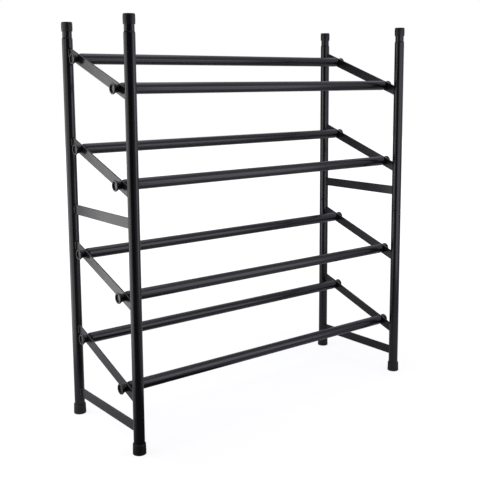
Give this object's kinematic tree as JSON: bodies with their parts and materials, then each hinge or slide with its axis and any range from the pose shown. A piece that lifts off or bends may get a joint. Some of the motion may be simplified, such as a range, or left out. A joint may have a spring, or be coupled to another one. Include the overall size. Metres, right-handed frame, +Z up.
{
  "type": "shoe rack",
  "caption": "Free-standing stacking shoe rack of black round tube: post end frames with sloped flat side bars carry plugged round rails, with push-on caps and flared feet.",
  "frame": {"origin": "on the floor, midway between the four posts", "axes": "+X to the right along the rails, +Y to the back, +Z up; the tiers slope down towards the front"},
  "size_m": [0.6564, 0.241, 0.7248],
  "materials": {
    "powder_coated_tube": "satin black powder coat",
    "powder_coated_bar": "satin black powder coat",
    "moulded_plug": "moulded, satin black",
    "moulded_cap": "moulded, matt black",
    "rubber_foot": "moulded, matt black"
  },
  "bodies": {
    "lower_unit": {"lower_post_front_left": "powder_coated_tube", "lower_post_front_right": "powder_coated_tube", "lower_post_back_left": "powder_coated_tube", "lower_post_back_right": "powder_coated_tube", "tier_1_rail_front": "powder_coated_tube", "tier_1_rail_back": "powder_coated_tube", "tier_2_rail_front": "powder_coated_tube", "tier_2_rail_back": "powder_coated_tube", "lower_cross_bar_left": "powder_coated_bar", "lower_cross_bar_right": "powder_coated_bar", "tier_1_side_bar_left": "powder_coated_bar", "tier_1_side_bar_right": "powder_coated_bar", "tier_2_side_bar_left": "powder_coated_bar", "tier_2_side_bar_right": "powder_coated_bar", "tier_1_plug_front_left": "moulded_plug", "tier_1_plug_front_right": "moulded_plug", "tier_1_plug_back_left": "moulded_plug", "tier_1_plug_back_right": "moulded_plug", "tier_2_plug_front_left": "moulded_plug", "tier_2_plug_front_right": "moulded_plug", "tier_2_plug_back_left": "moulded_plug", "tier_2_plug_back_right": "moulded_plug", "foot_front_left": "rubber_foot", "foot_front_right": "rubber_foot", "foot_back_left": "rubber_foot", "foot_back_right": "rubber_foot"},
    "upper_unit": {"upper_post_front_left": "powder_coated_tube", "upper_post_front_right": "powder_coated_tube", "upper_post_back_left": "powder_coated_tube", "upper_post_back_right": "powder_coated_tube", "tier_3_rail_front": "powder_coated_tube", "tier_3_rail_back": "powder_coated_tube", "tier_4_rail_front": "powder_coated_tube", "tier_4_rail_back": "powder_coated_tube", "upper_cross_bar_left": "powder_coated_bar", "upper_cross_bar_right": "powder_coated_bar", "tier_3_side_bar_left": "powder_coated_bar", "tier_3_side_bar_right": "powder_coated_bar", "tier_4_side_bar_left": "powder_coated_bar", "tier_4_side_bar_right": "powder_coated_bar", "tier_3_plug_front_left": "moulded_plug", "tier_3_plug_front_right": "moulded_plug", "tier_3_plug_back_left": "moulded_plug", "tier_3_plug_back_right": "moulded_plug", "tier_4_plug_front_left": "moulded_plug", "tier_4_plug_front_right": "moulded_plug", "tier_4_plug_back_left": "moulded_plug", "tier_4_plug_back_right": "moulded_plug"},
    "cap_front_left": {"cap_front_left": "moulded_cap"},
    "cap_front_right": {"cap_front_right": "moulded_cap"},
    "cap_back_left": {"cap_back_left": "moulded_cap"},
    "cap_back_right": {"cap_back_right": "moulded_cap"}
  },
  "joints": [
    {"name": "upper_unit_lift", "type": "slide", "parent": "lower_unit", "child": "upper_unit", "axis": [0, 0, 1], "range_m": [0, 0.03]},
    {"name": "cap_front_left_pull", "type": "slide", "parent": "upper_unit", "child": "cap_front_left", "axis": [0, 0, 1], "range_m": [0, 0.018]},
    {"name": "cap_front_right_pull", "type": "slide", "parent": "upper_unit", "child": "cap_front_right", "axis": [0, 0, 1], "range_m": [0, 0.018]},
    {"name": "cap_back_left_pull", "type": "slide", "parent": "upper_unit", "child": "cap_back_left", "axis": [0, 0, 1], "range_m": [0, 0.018]},
    {"name": "cap_back_right_pull", "type": "slide", "parent": "upper_unit", "child": "cap_back_right", "axis": [0, 0, 1], "range_m": [0, 0.018]}
  ]
}
